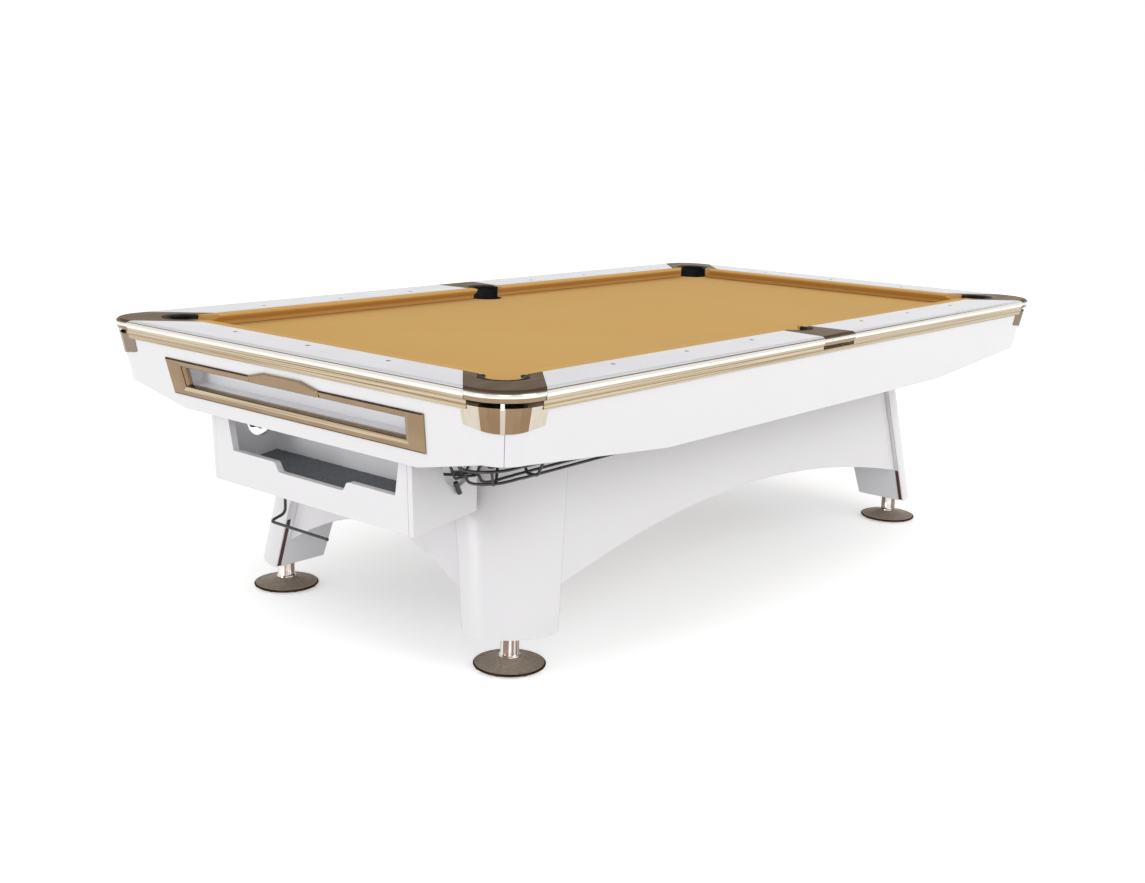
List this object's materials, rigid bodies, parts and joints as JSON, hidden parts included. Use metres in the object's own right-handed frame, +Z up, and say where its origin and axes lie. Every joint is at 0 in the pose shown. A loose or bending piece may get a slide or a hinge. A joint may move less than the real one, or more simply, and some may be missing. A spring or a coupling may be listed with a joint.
{
  "type": "pool table",
  "caption": "Pocket billiard table with slate bed, cloth cushions, metal corner castings, leaning white aprons, ball-return box and tracks, splayed pedestal legs and levelling feet.",
  "frame": {"origin": "on the floor, under the middle of the table", "axes": "+X along the length away from the ball-box end, +Y across the table, +Z up"},
  "size_m": [2.93, 1.66, 0.852],
  "materials": {
    "white_lacquer": "satin white lacquer on board",
    "rail_laminate": "smooth pale grey-white laminate on board",
    "camel_cloth": "napped camel-gold billiard cloth",
    "polished_chrome": "polished",
    "champagne_chrome": "polished champagne",
    "taupe_pewter": "satin taupe, hammered on the feet",
    "black_rubber": "matt",
    "black_wire": "black coated wire",
    "slate": "honed",
    "frame_timber": "planed"
  },
  "bodies": {
    "table": {"apron_corner_a": "polished_chrome", "apron_corner_b": "polished_chrome", "apron_corner_c": "polished_chrome", "apron_corner_d": "polished_chrome", "apron_far": "white_lacquer", "apron_foot": "white_lacquer", "apron_head": "white_lacquer", "apron_near": "white_lacquer", "ball_box": "white_lacquer", "ball_track_far": "black_wire", "ball_track_near": "black_wire", "base_panel_far": "white_lacquer", "base_panel_foot": "white_lacquer", "base_panel_head": "white_lacquer", "base_panel_near": "white_lacquer", "bed_cloth": "camel_cloth", "corner_cap_a": "taupe_pewter", "corner_cap_b": "taupe_pewter", "corner_cap_c": "taupe_pewter", "corner_cap_d": "taupe_pewter", "cushion_far_foot": "camel_cloth", "cushion_far_head": "camel_cloth", "cushion_foot": "camel_cloth", "cushion_head": "camel_cloth", "cushion_near_foot": "camel_cloth", "cushion_near_head": "camel_cloth", "leg_a": "white_lacquer", "leg_b": "white_lacquer", "leg_c": "white_lacquer", "leg_d": "white_lacquer", "pocket_liner_a": "black_rubber", "pocket_liner_b": "black_rubber", "pocket_liner_c": "black_rubber", "pocket_liner_d": "black_rubber", "pocket_liner_side_far": "black_rubber", "pocket_liner_side_near": "black_rubber", "rack_hanger": "black_wire", "rail_cap_far_foot": "rail_laminate", "rail_cap_far_head": "rail_laminate", "rail_cap_foot": "rail_laminate", "rail_cap_head": "rail_laminate", "rail_cap_near_foot": "rail_laminate", "rail_cap_near_head": "rail_laminate", "rail_trim_far": "polished_chrome", "rail_trim_foot": "polished_chrome", "rail_trim_head": "polished_chrome", "rail_trim_near": "polished_chrome", "side_cap_far": "taupe_pewter", "side_cap_near": "taupe_pewter", "slate_bed": "slate", "slate_frame": "frame_timber", "tray_frame": "champagne_chrome"},
    "pad_a": {"foot_pad_a": "taupe_pewter"},
    "pad_b": {"foot_pad_b": "taupe_pewter"},
    "pad_c": {"foot_pad_c": "taupe_pewter"},
    "pad_d": {"foot_pad_d": "taupe_pewter"},
    "stem_a": {"foot_stem_a": "polished_chrome"},
    "stem_b": {"foot_stem_b": "polished_chrome"},
    "stem_c": {"foot_stem_c": "polished_chrome"},
    "stem_d": {"foot_stem_d": "polished_chrome"}
  },
  "joints": [
    {"name": "foot_a_travel", "type": "slide", "parent": "table", "child": "pad_a", "axis": [0, 0, -1], "range_m": [0, 0.02]},
    {"name": "foot_b_travel", "type": "slide", "parent": "table", "child": "pad_b", "axis": [0, 0, -1], "range_m": [0, 0.02]},
    {"name": "foot_c_travel", "type": "slide", "parent": "table", "child": "pad_c", "axis": [0, 0, -1], "range_m": [0, 0.02]},
    {"name": "foot_d_travel", "type": "slide", "parent": "table", "child": "pad_d", "axis": [0, 0, -1], "range_m": [0, 0.02]},
    {"name": "stem_a_turn", "type": "hinge", "parent": "pad_a", "child": "stem_a", "pos_m": [-1.065, -0.483, 0.06], "axis": [0, 0, 1], "range_deg": [0, 2400]},
    {"name": "stem_b_turn", "type": "hinge", "parent": "pad_b", "child": "stem_b", "pos_m": [-1.065, 0.483, 0.06], "axis": [0, 0, 1], "range_deg": [0, 2400]},
    {"name": "stem_c_turn", "type": "hinge", "parent": "pad_c", "child": "stem_c", "pos_m": [1.065, -0.483, 0.06], "axis": [0, 0, 1], "range_deg": [0, 2400]},
    {"name": "stem_d_turn", "type": "hinge", "parent": "pad_d", "child": "stem_d", "pos_m": [1.065, 0.483, 0.06], "axis": [0, 0, 1], "range_deg": [0, 2400]}
  ],
  "couplings": [
    {"joint": "stem_a_turn", "follows": "foot_a_travel", "rad_per_m": 2094.4},
    {"joint": "stem_b_turn", "follows": "foot_b_travel", "rad_per_m": 2094.4},
    {"joint": "stem_c_turn", "follows": "foot_c_travel", "rad_per_m": 2094.4},
    {"joint": "stem_d_turn", "follows": "foot_d_travel", "rad_per_m": 2094.4}
  ]
}
